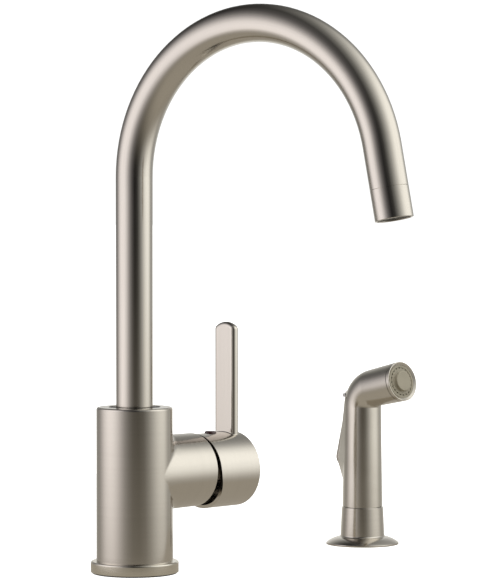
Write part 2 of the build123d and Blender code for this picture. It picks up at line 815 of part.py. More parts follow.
def coupling_fittings():
    """The seal and the clip on the coupling's stem."""
    stem = coupling_stem_radius
    low = coupling_ring_level + slip_gap
    high = low + coupling_groove_height - 2 * slip_gap
    outer = stem + seal_squeeze
    seal = ring(outer, stem - coupling_seal_depth, low, high)
    rims = edges_on_circle(seal, outer, low) + edges_on_circle(seal, outer, high)
    write("coupling_seal", spray_frame * fillet(rims, coupling_seal_round))
    clip_high = coupling_clip_level + clip_thickness
    write("coupling_clip", split_ring(stem + coupling_clip_proud, stem - coupling_clip_depth,
                                      coupling_clip_level, clip_high, coupling_clip_mouth, spray_frame))


# ---------------------------------------------------------------- side spray: wand
bend_angle = 90 - nozzle_rise
bend_start = wand_corner - elbow_radius * math.tan(math.radians(bend_angle / 2))
nozzle_frame = Location((0, 0, wand_corner), (90 - nozzle_rise, 0, 0))
nozzle_start = elbow_radius * math.tan(math.radians(bend_angle / 2))
ring_back = nozzle_reach - nozzle_ring_length
shell_end = ring_back - nozzle_seam
neck_end = ring_back + nozzle_neck_length
face_back = neck_end + face_seal_height


def direction(start, end):
    """The unit way from one point of the side view to another."""
    length = math.dist(start, end)
    return ((end[0] - start[0]) / length, (end[1] - start[1]) / length)


# lean_way runs down the trigger's straight outer face, and lean_out is the face's outward normal.
# tail_way and tail_out are the same for the foot that curls in below it.
lean_way = direction(trigger_high, trigger_low)
lean_out = (-lean_way[1], lean_way[0])
tail_way = direction(trigger_low, trigger_tail)
tail_out = (-tail_way[1], tail_way[0])
trigger_pivot = (trigger_high[0] - lean_out[0] * trigger_thickness / 2,
                 trigger_high[1] - lean_out[1] * trigger_thickness / 2)
pin_place = Location((0, *trigger_pivot), (0, 90, 0))
fin_half_width = trigger_half_width + seat_gap + fin_wall


def inward(point, normal, depth):
    """A point moved in from a face by a depth along the face's normal."""
    return (point[0] - normal[0] * depth, point[1] - normal[1] * depth)


def meeting(point, way, other, other_way):
    """Where two lines of the side view cross."""
    cross = way[0] * other_way[1] - way[1] * other_way[0]
    along = ((other[0] - point[0]) * other_way[1] - (other[1] - point[1]) * other_way[0]) / cross
    return (point[0] + way[0] * along, point[1] + way[1] * along)


def pressed(point):
    """Where a point of the trigger goes when the trigger is pressed home."""
    turn = math.radians(-trigger_travel)
    across = point[0] - trigger_pivot[0]
    up = point[1] - trigger_pivot[1]
    return (trigger_pivot[0] + across * math.cos(turn) - up * math.sin(turn),
            trigger_pivot[1] + across * math.sin(turn) + up * math.cos(turn))


inner_high = inward(trigger_high, lean_out, trigger_thickness)
tail_inner = inward(trigger_tail, tail_out, tail_thickness)
inner_low = meeting(inner_high, lean_way, tail_inner, tail_way)


def trigger():
    """The lever on the wand's back: a straight leaning plate whose foot curls in to the wand."""
    plate = side_profile([trigger_high, trigger_low, trigger_tail, tail_inner, inner_low, inner_high],
                         trigger_half_width)
    knee = [edge for edge in plate.edges().filter_by(Axis.X)
            if math.dist((edge.center().Y, edge.center().Z), trigger_low) < same_place]
    plate = fillet(knee, trigger_round)
    near = trigger_thickness / 4
    rims = []
    for edge in plate.edges():
        middle = edge.center()
        lean_depth = (middle.Y - trigger_low[0]) * lean_out[0] + (middle.Z - trigger_low[1]) * lean_out[1]
        tail_depth = (middle.Y - trigger_low[0]) * tail_out[0] + (middle.Z - trigger_low[1]) * tail_out[1]
        flank = abs(abs(middle.X) - trigger_half_width) < same_place
        if flank and max(lean_depth, tail_depth) > -near:
            rims.append(edge)
    plate = fillet(rims, trigger_edge)
    eye = pin_place * Cylinder(trigger_thickness / 2, 2 * trigger_half_width)
    hole = pin_place * Cylinder(trigger_pin_radius + running_gap, 4 * trigger_half_width)
    return wand_frame * (plate + eye - hole)


def trigger_pocket():
    """The space that the trigger needs from rest to pressed home, in the wand's back."""
    reach = trigger_thickness / 2 + seat_gap
    floor_high = (trigger_pivot[0] - reach, trigger_pivot[1])
    knee = (pressed(inner_low)[0] - 2 * seat_gap, inner_low[1])
    heel = (pressed(tail_inner)[0] - 2 * seat_gap, pressed(tail_inner)[1])
    floor_low = trigger_tail[1] - fin_below_tail / 2
    outside = trigger_low[0] + trigger_thickness
    half_width = trigger_half_width + seat_gap
    space = side_profile([floor_high, knee, heel, (heel[0], floor_low), (outside, floor_low),
                          (outside, trigger_low[1]), (trigger_pivot[0] + 2 * reach, trigger_pivot[1])],
                         half_width)
    return space + pin_place * Cylinder(reach, 2 * half_width)


def flank_section(height, rim):
    """The fin from above at one height.  Each flank is a line from the rim that touches the grip's circle."""
    part_way = (height - wand_seam) / (bend_start - wand_seam)
    grip_radius = wand_low_radius + (wand_high_radius - wand_low_radius) * part_way - fin_sink
    touch = math.atan2(fin_half_width, rim) + math.acos(grip_radius / math.hypot(fin_half_width, rim))
    wide = grip_radius * math.sin(touch)
    start = grip_radius * math.cos(touch)
    corners = [(-wide, start), (wide, start), (fin_half_width, rim), (-fin_half_width, rim)]
    return make_face(Polyline(*[(x, y, height) for x, y in corners], close=True))


def rear_fin():
    """The hump on the wand's back that carries the trigger.  Its flanks leave the round grip smoothly."""
    rim_high = inward(trigger_high, lean_out, fin_rim_depth)
    rim_low = inward(trigger_low, lean_out, fin_rim_depth)
    foot = (wand_low_radius - fin_foot_depth, trigger_tail[1] - fin_below_tail)
    hump = side_profile([(0, rim_high[1]), rim_high, rim_low, foot, (0, foot[1])], wand_low_radius)
    wedge = loft([flank_section(foot[1], foot[0]), flank_section(rim_low[1], rim_low[0]),
                  flank_section(rim_high[1], rim_low[0])], ruled=True)
    fin = hump & wedge
    rims = []
    for edge in fin.edges():
        middle = edge.center()
        if edge.length > wand_high_radius and middle.Y > wand_high_radius / 2 and middle.Z > rim_low[1]:
            rims.append(edge)
    return fillet(rims, fin_edge)


def plunger_tail():
    """Where the plunger's head stands behind the wand's axis at rest."""
    along = (valve_level - inner_high[1]) / lean_way[1]
    return inner_high[0] + lean_way[0] * along - seat_gap - slip_gap


valve_place = Location((0, 0, valve_level), (-90, 0, 0))
valve_frame = wand_frame * valve_place


def wand_body():
    """Grip, elbow and nozzle in one casting, with the trigger's pocket and the valve's chamber."""
    foot = cup_floor + seat_gap
    grip = turned([(0, foot), (spigot_radius, foot), (spigot_radius, wand_seam), (wand_low_radius, wand_seam),
                   (wand_high_radius, bend_start), (0, bend_start)])
    bend = CenterArc((-elbow_radius, bend_start), elbow_radius, 0, bend_angle)
    elbow = sweep(Pos(0, 0, bend_start) * Circle(wand_high_radius), path=Plane.YZ * Wire([bend.edge()]))
    nozzle = turned([(0, nozzle_start), (wand_high_radius, nozzle_start), (nozzle_radius, shell_end),
                     (nozzle_neck_radius, shell_end), (nozzle_neck_radius, neck_end), (0, neck_end)],
                    nozzle_frame)
    shape = grip + elbow + nozzle + rear_fin()
    shape -= trigger_pocket()
    shape -= rod(coupling_stem_radius + running_gap, cup_floor - overcut, coupling_stem_top + overcut)
    shape -= rod(coupling_stem_radius + coupling_clip_proud + seat_gap, coupling_clip_level - seat_gap,
                 coupling_clip_level + clip_thickness + seat_gap)
    shape -= rod(water_bore, coupling_stem_top, wand_corner)
    shape -= rod(nozzle_bore, 0, neck_end, nozzle_frame)
    shape -= rod(nozzle_chamber_radius, neck_end - nozzle_chamber_depth, neck_end + overcut, nozzle_frame)
    shape -= rod(valve_chamber_radius, -valve_chamber_front, valve_chamber_back, valve_place)
    shape -= rod(plunger_radius + running_gap, 0, trigger_low[0], valve_place)
    return wand_frame * (shape - pin_place * Cylinder(trigger_pin_radius, 2 * trigger_pin_half))


def trigger_pin():
    return wand_frame * pin_place * Cylinder(trigger_pin_radius, 2 * trigger_pin_half)


poppet_high = valve_chamber_back - seat_gap
poppet_low = poppet_high - poppet_thickness
seal_low = poppet_high - poppet_seal_thickness


def valve_plunger():
    """The pin that the trigger pushes, with the poppet that opens the water way."""
    shape = rod(plunger_radius, poppet_low, plunger_tail())
    shape += rod(poppet_radius, poppet_low, seal_low)
    return valve_frame * shape


def poppet_seal():
    return ring(poppet_radius, plunger_radius, seal_low, poppet_high, valve_frame)


def return_spring():
    """The coil spring on the poppet.  Its slack is the room that the poppet travels through."""
    low = -valve_chamber_front + spring_slack + spring_wire
    high = poppet_low - spring_wire
    pitch = (high - low) / spring_turns
    helix = Helix(pitch=pitch, height=high - low, radius=spring_coil_radius)
    start = helix @ 0
    along = helix % 0
    wire_end = Plane(origin=start, z_dir=along) * Circle(spring_wire)
    print("return_spring least gap to itself: %.2f mm" % (pitch - 2 * spring_wire))
    return valve_frame * Pos(0, 0, low) * sweep(wire_end, path=helix, is_frenet=True)


def nozzle_ring():
    """The rim screwed on the nozzle's neck, with a bevel that runs in to the face."""
    inner = nozzle_neck_radius + running_gap
    shape = turned([(inner, ring_back), (nozzle_radius, ring_back), (nozzle_radius, nozzle_reach),
                    (nozzle_radius - ring_lip, nozzle_reach), (inner, nozzle_reach - face_recess)])
    rims = edges_on_circle(shape, nozzle_radius, nozzle_reach)
    rims += edges_on_circle(shape, nozzle_radius, ring_back)
    return wand_frame * nozzle_frame * fillet(rims, ring_round)


def spray_face():
    """The plastic face: a ring of jets around a raised centre."""
    edge = nozzle_neck_radius - slip_gap
    front = nozzle_reach - face_recess
    crest = front + face_centre_height
    groove = edge - face_border
    groove_in = groove - face_groove_width
    groove_floor = front - face_groove_depth
    shape = turned([(0, face_back), (edge, face_back), (edge, front), (groove, front), (groove, groove_floor),
                    (groove_in, groove_floor), (groove_in, front), (face_centre_radius + face_foot, front),
                    (face_centre_radius, front + face_foot / 2), (face_centre_radius, crest), (0, crest)])
    shape = fillet(edges_on_circle(shape, face_centre_radius, crest), face_centre_round)
    for spot in PolarLocations(face_hole_circle, face_hole_count):
        shape -= spot * rod(face_hole_radius, face_back - overcut, nozzle_reach + overcut)
    return wand_frame * nozzle_frame * shape


def face_seal():
    return ring(nozzle_neck_radius - 2 * slip_gap, nozzle_chamber_radius + slip_gap, neck_end, face_back,
                wand_frame * nozzle_frame)


# ---------------------------------------------------------------- the nodes
for name, make in (
    ("base_gasket", base_gasket), ("base_ring", base_ring), ("body_shell", body_shell),
    ("valve_body", valve_body), ("diverter", diverter), ("mounting_shank", mounting_shank),
    ("glide_ring", glide_ring), ("spout_clip", spout_clip), ("cartridge_base", cartridge_base),
    ("cartridge_seals", cartridge_seals), ("lower_disc", lower_disc), ("upper_disc", upper_disc),
    ("disc_carrier", disc_carrier), ("cartridge_housing", cartridge_housing), ("stem_rotor", stem_rotor),
    ("pivot_pin", pivot_pin), ("handle_stem", handle_stem), ("bonnet_nut", bonnet_nut),
    ("bonnet_dome", bonnet_dome), ("handle", handle), ("set_screw", set_screw),
    ("index_button", index_button), ("spout_hub", spout_hub), ("spout_seals", spout_seals),
    ("spout_tube", spout_tube), ("spout_tip", spout_tip),
    ("spray_holder", spray_holder), ("hose_coupling", hose_coupling), ("wand_body", wand_body),
    ("trigger", trigger), ("trigger_pin", trigger_pin), ("valve_plunger", valve_plunger),
    ("poppet_seal", poppet_seal), ("return_spring", return_spring), ("nozzle_ring", nozzle_ring),
    ("spray_face", spray_face), ("face_seal", face_seal),
):
    write(name, make())
deck_washers()
aerator()
holder_hardware()
coupling_fittings()
print(len(nodes), "nodes")
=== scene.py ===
"""Finishes, threads and studio for a single-handle kitchen faucet with a separate side spray.

Metres, in the frame of the model: +Z is up, +X runs along the handle barrel towards the side spray,
and -Y points at the user.  The deck's top is at Z = 0.
"""

import math

import bpy
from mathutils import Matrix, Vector


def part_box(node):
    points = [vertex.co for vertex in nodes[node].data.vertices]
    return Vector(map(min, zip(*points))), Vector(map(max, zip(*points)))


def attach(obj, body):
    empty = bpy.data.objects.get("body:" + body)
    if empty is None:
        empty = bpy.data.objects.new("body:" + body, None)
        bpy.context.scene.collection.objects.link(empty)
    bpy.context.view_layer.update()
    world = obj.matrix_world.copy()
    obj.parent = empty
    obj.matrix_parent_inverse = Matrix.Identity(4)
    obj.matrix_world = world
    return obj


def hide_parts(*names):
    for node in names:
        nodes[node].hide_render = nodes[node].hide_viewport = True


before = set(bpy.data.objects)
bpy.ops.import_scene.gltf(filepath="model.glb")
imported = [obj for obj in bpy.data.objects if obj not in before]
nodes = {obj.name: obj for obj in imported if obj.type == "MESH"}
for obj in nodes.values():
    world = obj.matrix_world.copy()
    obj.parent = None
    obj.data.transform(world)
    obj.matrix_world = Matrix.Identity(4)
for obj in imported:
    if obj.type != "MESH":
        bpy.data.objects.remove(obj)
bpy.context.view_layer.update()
MM = 0.001


def middle_of(node):
    """The middle of a node's box, with the model at rest."""
    low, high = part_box(node)
    return (low + high) / 2


# ---------------------------------------------------------------- sizes that the finishes and threads follow
barrel_height = middle_of("cartridge_housing").z
barrel_start = 20.0 * MM        # the finish turns from the body's rings to the barrel's over this stretch
barrel_clear = 25.0 * MM
lever_start = 76.7 * MM         # and from the cap's rings to the lever's straight lines over this height
lever_clear = 83.6 * MM
spout_swing = 8.5               # degrees from -Y towards +X, as the spout stands at rest
arch_radius = 88.5 * MM
straight_top = 235.7 * MM
spray_x = middle_of("holder_nut").x

shank_bore = 13.6 * MM
shank_pitch = 2.0 * MM
shank_thread_depth = 0.9 * MM
holder_bore = 10.9 * MM
holder_pitch = 3.0 * MM
holder_thread_depth = 1.0 * MM
thread_top = 0.0                # both threads end at the deck's top
thread_flat = 0.1               # in pitches: the crest is flat over this, and so is the root
thread_lead = 0.6               # in pitches: the plain end below a thread
thread_runout = 0.1             # in pitches: from a thread's last row to the plain shank above
thread_sides = 72
rows_per_turn = 8
sharp_edge = 50.0               # degrees

# The photograph's size and camera
photo_height = 585
focal_pixels = 3000.46
camera_place = (-1.2339, -1.2884, 0.2293)
camera_heading = 44.03          # degrees from +X towards +Y
camera_pitch = -1.998
sensor_size = 36.0


# ---------------------------------------------------------------- shader maths
class Value:
    """A socket with a number, a colour or a vector.  Arithmetic is for numbers, and adds Math nodes."""

    def __init__(self, sheet, socket):
        self.sheet = sheet
        self.socket = socket

    def __add__(self, other):
        return self.sheet.maths("ADD", self, other)

    def __radd__(self, other):
        return self.sheet.maths("ADD", other, self)

    def __sub__(self, other):
        return self.sheet.maths("SUBTRACT", self, other)

    def __rsub__(self, other):
        return self.sheet.maths("SUBTRACT", other, self)

    def __mul__(self, other):
        return self.sheet.maths("MULTIPLY", self, other)

    def __rmul__(self, other):
        return self.sheet.maths("MULTIPLY", other, self)

    def __truediv__(self, other):
        return self.sheet.maths("DIVIDE", self, other)

    def __pow__(self, other):
        return self.sheet.maths("POWER", self, other)

    def at_least(self, low):
        return self.sheet.maths("MAXIMUM", self, low)

    def arc_cosine(self):
        return self.sheet.maths("ARCCOSINE", self)

    def rise(self, low, high):
        """0 below low, 1 above high, and a smooth step between them."""
        inputs = {"Value": self, "From Min": low, "From Max": high}
        return self.sheet.node("ShaderNodeMapRange", {"interpolation_type": "SMOOTHSTEP"}, inputs)


class Sheet:
    """The node tree of one material or of the world."""

    def __init__(self, owner):
        owner.use_nodes = True
        self.tree = owner.node_tree
        self.tree.nodes.clear()

    def node(self, kind, settings=None, inputs=None, output=0):
        """Add a node, apply its settings, then fill its sockets with values or links."""
        made = self.tree.nodes.new(kind)
        settings = dict(settings or {})
        stops = settings.pop("stops", [])
        for name, value in settings.items():
            setattr(made, name, value)
        if stops:
            points = made.color_ramp.elements
            while len(points) < len(stops):
                points.new(1.0)
            for point, (place, tint) in zip(points, stops):
                point.position = place
                point.color = tint
        for place, value in (inputs or {}).items():
            if isinstance(value, Value):
                self.tree.links.new(value.socket, made.inputs[place])
            else:
                made.inputs[place].default_value = value
        return Value(self, made.outputs[output]) if made.outputs else None

    def maths(self, operation, *terms):
        return self.node("ShaderNodeMath", {"operation": operation}, dict(enumerate(terms)))

    def vector_maths(self, operation, inputs, output=0):
        return self.node("ShaderNodeVectorMath", {"operation": operation}, inputs, output)

    def place(self):
        """The point on the piece, from the origin of its own object."""
        return self.node("ShaderNodeTexCoord", output="Object")

    def numbers(self, vector):
        """A vector's x, y and z."""
        return [self.node("ShaderNodeSeparateXYZ", inputs={0: vector}, output=axis) for axis in range(3)]

    def noise(self, vector, scale, detail=2.0, roughness=0.5):
        inputs = {"Vector": vector, "Scale": scale, "Detail": detail, "Roughness": roughness}
        return self.node("ShaderNodeTexNoise", inputs=inputs)

    def streaks(self, across, along, lines, run, detail=2.0, roughness=0.5):
        """Noise drawn out to lines, by its cells in a metre across the lines and along them."""
        stretched = {0: across * lines, 1: along[0] * run, 2: along[1] * run}
        return self.noise(self.node("ShaderNodeCombineXYZ", inputs=stretched), 1.0, detail, roughness)

    def between(self, factor, first, second):
        """From the first colour to the second."""
        inputs = {0: factor, 6: colour(*first), 7: colour(*second)}
        return self.node("ShaderNodeMix", {"data_type": "RGBA"}, inputs, output=2)

    def bump(self, height, distance, strength):
        inputs = {"Height": height, "Distance": distance, "Strength": strength}
        return self.node("ShaderNodeBump", inputs=inputs)

    def show(self, shader):
        self.node("ShaderNodeOutputMaterial", inputs={"Surface": shader})

    def principled(self, **sockets):
        """Show a Principled surface.  Socket names are given with _ for a space."""
        inputs = {name.replace("_", " "): value for name, value in sockets.items()}
        self.show(self.node("ShaderNodeBsdfPrincipled", inputs=inputs))


def hypotenuse(first, second):
    return (first * first + second * second) ** 0.5


def colour(red, green, blue):
    """An opaque colour, as sockets take it."""
    return (red, green, blue, 1.0)


def grey(level):
    return colour(level, level, level)


# ---------------------------------------------------------------- where the brush lines run
def rings_round_z(x, y, z, centre=0.0):
    """Lines that ring an upright axis: the coordinate across them is the height plus the radius."""
    return z + hypotenuse(x - centre, y)


def rings_round_spray(x, y, z):
    return rings_round_z(x, y, z, spray_x)


def rings_round_barrel(x, y, z):
    return x + hypotenuse(y, z - barrel_height)


def body_lines(x, y, z):
    """Rings round the body that turn into rings round its barrel."""
    out = x.rise(barrel_start, barrel_clear)
    return out * rings_round_barrel(x, y, z) + (1.0 - out) * rings_round_z(x, y, z)


def handle_lines(x, y, z):
    """Rings round the cap, and straight lines up the lever."""
    up = z.rise(lever_start, lever_clear)
    return up * y + (1.0 - up) * rings_round_barrel(x, y, z)


def spout_lines(x, y, z):
    """Lines that follow the tube, by the distance across the spout's plane and from the arch's middle."""
    swing = math.radians(spout_swing)
    line_spread = 1.3
    out = x * math.sin(swing) - y * math.cos(swing)
    aside = x * math.cos(swing) + y * math.sin(swing)
    above = (z - straight_top).at_least(0.0)
    return aside * line_spread + hypotenuse(out - arch_radius, above)


# ---------------------------------------------------------------- finishes
# Scales are in noise cells per metre; depths are those of the relief.
nickel_tint = (0.62, 0.585, 0.53)
handle_tint = (0.645, 0.61, 0.555)
base_tint = (0.69, 0.655, 0.58)
nickel_gloss = 0.15
nickel_spread = 0.03            # the tint's lightest and darkest places differ from it by this share
fine_lines = 5200.0
fine_run = 40.0
broad_lines = 900.0
broad_run = 12.0
brush_depth = 0.015 * MM


def brushed(name, tint, lines):
    """Plated metal with fine brush lines, a soft change of gloss and faint handling marks."""
    made = bpy.data.materials.new(name)
    sheet = Sheet(made)
    place = sheet.place()
    x, y, z = sheet.numbers(place)
    across = lines(x, y, z)
    fine = sheet.streaks(across, (x, z), fine_lines, fine_run, detail=3.0, roughness=0.6)
    broad = sheet.streaks(across, (x, z), broad_lines, broad_run)
    cloud = sheet.noise(place, scale=38.0, detail=3.0)
    tone = 0.55 * fine + 0.3 * broad + 0.15 * cloud
    low = [(1.0 - nickel_spread) * part for part in tint]
    high = [(1.0 + nickel_spread) * part for part in tint]
    gloss = nickel_gloss + 0.05 * (fine - 0.5) + 0.03 * (broad - 0.5) + 0.03 * (cloud - 0.5)
    relief = sheet.bump(fine * 0.85 + broad * 0.15, brush_depth, strength=0.5)
    sheet.principled(Base_Color=sheet.between(tone.rise(0.3, 0.7), low, high), Metallic=1.0,
                     Roughness=gloss, Normal=relief)
    return made


def sprayed_nickel():
    """The side spray's plated plastic: satin, with a slight orange-peel surface."""
    made = bpy.data.materials.new("sprayed_nickel")
    sheet = Sheet(made)
    place = sheet.place()
    peel = sheet.noise(place, scale=900.0)
    cloud = sheet.noise(place, scale=45.0, detail=3.0)
    tint = sheet.between(cloud.rise(0.35, 0.65), (0.625, 0.59, 0.53), (0.665, 0.63, 0.57))
    gloss = 0.19 + 0.05 * (cloud - 0.5) + 0.03 * (peel - 0.5)
    relief = sheet.bump(peel, 0.02 * MM, strength=0.4)
    sheet.principled(Base_Color=tint, Metallic=1.0, Roughness=gloss, Normal=relief)
    return made


def machined_brass():
    """Turned brass with fine tool marks and a little dulling."""
    made = bpy.data.materials.new("machined_brass")
    sheet = Sheet(made)
    place = sheet.place()
    x, y, z = sheet.numbers(place)
    marks = sheet.streaks(z + x, (x, y), lines=3000.0, run=30.0)
    dull = sheet.noise(place, scale=60.0, detail=4.0, roughness=0.6)
    tint = sheet.between(dull.rise(0.4, 0.75), (0.72, 0.5, 0.2), (0.5, 0.32, 0.12))
    gloss = 0.27 + 0.1 * (marks - 0.5) + 0.25 * dull.rise(0.45, 0.8)
    relief = sheet.bump(marks, 0.03 * MM, strength=0.5)
    sheet.principled(Base_Color=tint, Metallic=1.0, Roughness=gloss, Normal=relief)
    return made


def plain_steel():
    """Stainless steel as rolled or drawn, with fine scratches."""
    made = bpy.data.materials.new("plain_steel")
    sheet = Sheet(made)
    place = sheet.place()
    x, y, z = sheet.numbers(place)
    scratch = sheet.streaks(x, (y, z), lines=2500.0, run=120.0, detail=3.0)
    cloud = sheet.noise(place, scale=70.0, detail=3.0)
    tint = sheet.between(cloud, (0.5, 0.5, 0.5), (0.6, 0.59, 0.57))
    gloss = 0.28 + 0.12 * (scratch - 0.5) + 0.08 * (cloud - 0.5)
    relief = sheet.bump(scratch, 0.02 * MM, strength=0.5)
    sheet.principled(Base_Color=tint, Metallic=1.0, Roughness=gloss, Normal=relief)
    return made


def moulded(name, low, high, roughness, grain=1400.0, depth=0.02 * MM, coat=0.0):
    """Moulded plastic or rubber: a fine surface grain and slightly uneven colour and gloss."""
    made = bpy.data.materials.new(name)
    sheet = Sheet(made)
    place = sheet.place()
    texture = sheet.noise(place, scale=grain)
    cloud = sheet.noise(place, scale=80.0, detail=3.0)
    gloss = roughness + 0.1 * (cloud - 0.5) + 0.06 * (texture - 0.5)
    relief = sheet.bump(texture, depth, strength=0.5)
    sheet.principled(Base_Color=sheet.between(cloud.rise(0.3, 0.7), low, high), Roughness=gloss,
                     Coat_Weight=coat, Coat_Roughness=0.08, Normal=relief)
    return made


def lapped_ceramic():
    """Dense white ceramic: lapped faces, with faint grey speckle."""
    made = bpy.data.materials.new("lapped_ceramic")
    sheet = Sheet(made)
    place = sheet.place()
    speck = sheet.noise(place, scale=2200.0)
    cloud = sheet.noise(place, scale=120.0)
    tint = sheet.between(speck.rise(0.45, 0.75), (0.82, 0.8, 0.76), (0.68, 0.66, 0.62))
    gloss = 0.16 + 0.1 * cloud.rise(0.3, 0.7)
    relief = sheet.bump(speck, 0.01 * MM, strength=0.3)
    sheet.principled(Base_Color=tint, Roughness=gloss, Normal=relief)
    return made


body_nickel = brushed("body_nickel", nickel_tint, body_lines)
base_nickel = brushed("base_nickel", base_tint, rings_round_z)
tip_nickel = brushed("tip_nickel", nickel_tint, rings_round_z)
spout_nickel = brushed("spout_nickel", nickel_tint, spout_lines)
handle_nickel = brushed("handle_nickel", handle_tint, handle_lines)
holder_nickel = brushed("holder_nickel", nickel_tint, rings_round_spray)
spray_nickel = sprayed_nickel()
brass = machined_brass()
steel = plain_steel()
black_rubber = moulded("black_rubber", (0.018, 0.018, 0.018), (0.03, 0.029, 0.028), roughness=0.62,
                       grain=900.0, depth=0.04 * MM)
white_acetal = moulded("white_acetal", (0.62, 0.61, 0.57), (0.72, 0.71, 0.68), roughness=0.42)
grey_plastic = moulded("grey_plastic", (0.16, 0.16, 0.155), (0.2, 0.2, 0.195), roughness=0.45)
spray_face_plastic = moulded("spray_face_plastic", (0.36, 0.33, 0.25), (0.41, 0.375, 0.285), roughness=0.4)
black_plastic = moulded("black_plastic", (0.008, 0.008, 0.008), (0.014, 0.013, 0.012), roughness=0.35)
ceramic = lapped_ceramic()
index_resin = moulded("index_resin", (0.05, 0.018, 0.02), (0.065, 0.024, 0.027), roughness=0.2,
                      grain=2000.0, depth=0.01 * MM, coat=0.6)

finishes = {
    body_nickel: ["body_shell"],
    base_nickel: ["base_ring"],
    tip_nickel: ["spout_tip"],
    spout_nickel: ["spout_tube"],
    handle_nickel: ["handle"],
    holder_nickel: ["spray_holder"],
    spray_nickel: ["wand_body", "trigger", "nozzle_ring"],
    brass: ["valve_body", "mounting_shank", "mounting_nut", "bonnet_nut", "spout_hub", "hose_coupling"],
    steel: ["steel_washer", "spout_clip", "pivot_pin", "handle_stem", "set_screw", "coupling_clip",
            "trigger_pin", "valve_plunger", "return_spring"],
    black_rubber: ["base_gasket", "rubber_washer", "cartridge_seals", "spout_seals", "aerator_washer",
                   "holder_gasket", "holder_washer", "coupling_seal", "poppet_seal", "face_seal"],
    white_acetal: ["diverter", "cartridge_base", "disc_carrier", "cartridge_housing", "stem_rotor",
                   "aerator_screen"],
    grey_plastic: ["aerator_insert", "holder_shank", "holder_nut"],
    spray_face_plastic: ["spray_face"],
    black_plastic: ["glide_ring", "bonnet_dome"],
    ceramic: ["lower_disc", "upper_disc"],
    index_resin: ["index_button"],
}


def dress(piece, finish):
    """Put one finish on every slot of a piece."""
    if not piece.material_slots:
        piece.data.materials.append(finish)
    for place in piece.material_slots:
        place.material = finish


for finish, names in finishes.items():
    for name in names:
        dress(nodes[name], finish)


# ---------------------------------------------------------------- new objects, and faces between rows
def faces_between(rows, sides, closed):
    """Four-sided faces between each row of points and the next, and from the last to the first if closed."""
    faces = []
    for level in range(rows if closed else rows - 1):
        above = (level + 1) % rows
        for side in range(sides):
            beside = (side + 1) % sides
            faces.append((level * sides + side, level * sides + beside,
                          above * sides + beside, above * sides + side))
    return faces


def add_object(name, data):
    """A new object in the scene."""
    made = bpy.data.objects.new(name, data)
    bpy.context.scene.collection.objects.link(made)
    return made


# ---------------------------------------------------------------- threads on the two shanks
def row_of_points(middle, height, radii):
    """One row of points round the shank, with a radius for each of its sides."""
    row = []
    for side, radius in enumerate(radii):
        angle = 2.0 * math.pi * side / thread_sides
        row.append((middle.x + radius * math.cos(angle), middle.y + radius * math.sin(angle), height))
    return row


def plain_row(middle, height, radius):
    """One row of a smooth round surface."""
    return row_of_points(middle, height, [radius] * thread_sides)


def thread_row(middle, height, crest, depth, pitch):
    """One row of the thread's surface: the radius falls by the depth and comes back once in each turn."""
    radii = []
    for side in range(thread_sides):
        phase = (height / pitch - side / thread_sides) % 1.0
        from_crest = 2.0 * abs(phase - 0.5)
        fall = (from_crest - thread_flat) / (1.0 - 2.0 * thread_flat)
        radii.append(crest - depth * min(1.0, max(0.0, fall)))
    return row_of_points(middle, height, radii)


def threaded_shank(name, node, bore, pitch, depth, body):
    """A hollow shank with a real helical thread, in the place of its plain node."""
    low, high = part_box(node)
    middle = (low + high) / 2
    crest = (high.x - low.x) / 2
    start = low.z + thread_lead * pitch
    steps = round((thread_top - start) / pitch * rows_per_turn)
    rows = [plain_row(middle, low.z, bore), plain_row(middle, low.z, crest - depth)]
    for step in range(steps + 1):
        rows.append(thread_row(middle, start + (thread_top - start) * step / steps, crest, depth, pitch))
    rows.append(plain_row(middle, thread_top + thread_runout * pitch, crest))
    rows.append(plain_row(middle, high.z, crest))
    rows.append(plain_row(middle, high.z, bore))
    mesh = bpy.data.meshes.new(name)
    points = [point for row in rows for point in row]
    mesh.from_pydata(points, [], faces_between(len(rows), thread_sides, closed=True))
    mesh.update()
    mesh.shade_smooth()
    mesh.set_sharp_from_angle(angle=math.radians(sharp_edge))
    piece = add_object(name, mesh)
    dress(piece, nodes[node].material_slots[0].material)
    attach(piece, body)
    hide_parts(node)


threaded_shank("threaded_mounting_shank", "mounting_shank", shank_bore, shank_pitch, shank_thread_depth,
               "base")
threaded_shank("threaded_holder_shank", "holder_shank", holder_bore, holder_pitch, holder_thread_depth,
               "base")


# ---------------------------------------------------------------- studio
tent_radius = 650.0 * MM
tent_middle = (60.0 * MM, -60.0 * MM, 150.0 * MM)
tent_rings = 48
tent_sides = 96
deck_reach = 105.0 * MM         # round the body's axis and the side spray's
deck_drop = 5.0 * MM
deck_sides = 24
floor_reach = 12.0
floor_shade = 0.8               # what the floor gives back of the light on it
floor_glow = 0.9                # what it shines with by itself, so that it shows as plain white
surroundings_glow = 1.1
white = grey(1.0)
lamp_size = 1.6
lamp_power = 14.0
lamp_place = (-0.3, -0.5, 1.6)
lamp_aim = (0.1, 0.0, 0.2)

# Each light on the tent: its middle in degrees (to the right of the camera, above the horizon),
# and its brightness by the degrees from there
right_light = ((91, 26), [(0, 1.42), (15, 1.4), (27, 1.2), (38, 0.83), (50, 0.48), (62, 0.22), (75, 0.05),
                          (90, 0.0)])
left_light = ((-77, 8), [(0, 1.27), (10, 1.25), (18, 1.12), (28, 0.81), (38, 0.47), (48, 0.23), (58, 0.1),
                         (70, 0.02), (85, 0.0)])
backdrop = ((180, -8), [(0, 0.85), (14, 0.7), (25, 0.45), (36, 0.24), (48, 0.1), (58, 0.03), (70, 0.0)])
brightest = 1.5                 # what a ramp's white stands for
table_colour = (0.42, 0.385, 0.325)
warm_white = (1.0, 0.995, 0.955)
cool_white = (1.02, 0.98, 1.0)

